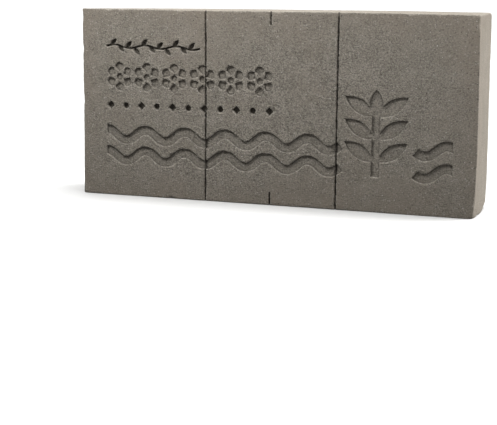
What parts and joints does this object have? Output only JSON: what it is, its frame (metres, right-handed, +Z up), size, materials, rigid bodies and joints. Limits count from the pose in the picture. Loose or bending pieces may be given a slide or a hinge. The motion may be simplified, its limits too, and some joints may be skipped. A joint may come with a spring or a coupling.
{
  "type": "floral foam brick",
  "caption": "Rigid dry-foam brick for holding cut or dried stems, scored for cutting into halves and thirds, with a shallow stamped pattern on one face.",
  "frame": {"origin": "centre of the long narrow side that the brick stands on", "axes": "+X along the length, +Y through the thickness from the stamped face to the plain back face, +Z up"},
  "size_m": [0.23, 0.039, 0.108],
  "materials": {
    "foam": "matte"
  },
  "bodies": {
    "root": {"foam_brick": "foam"}
  },
  "joints": []
}
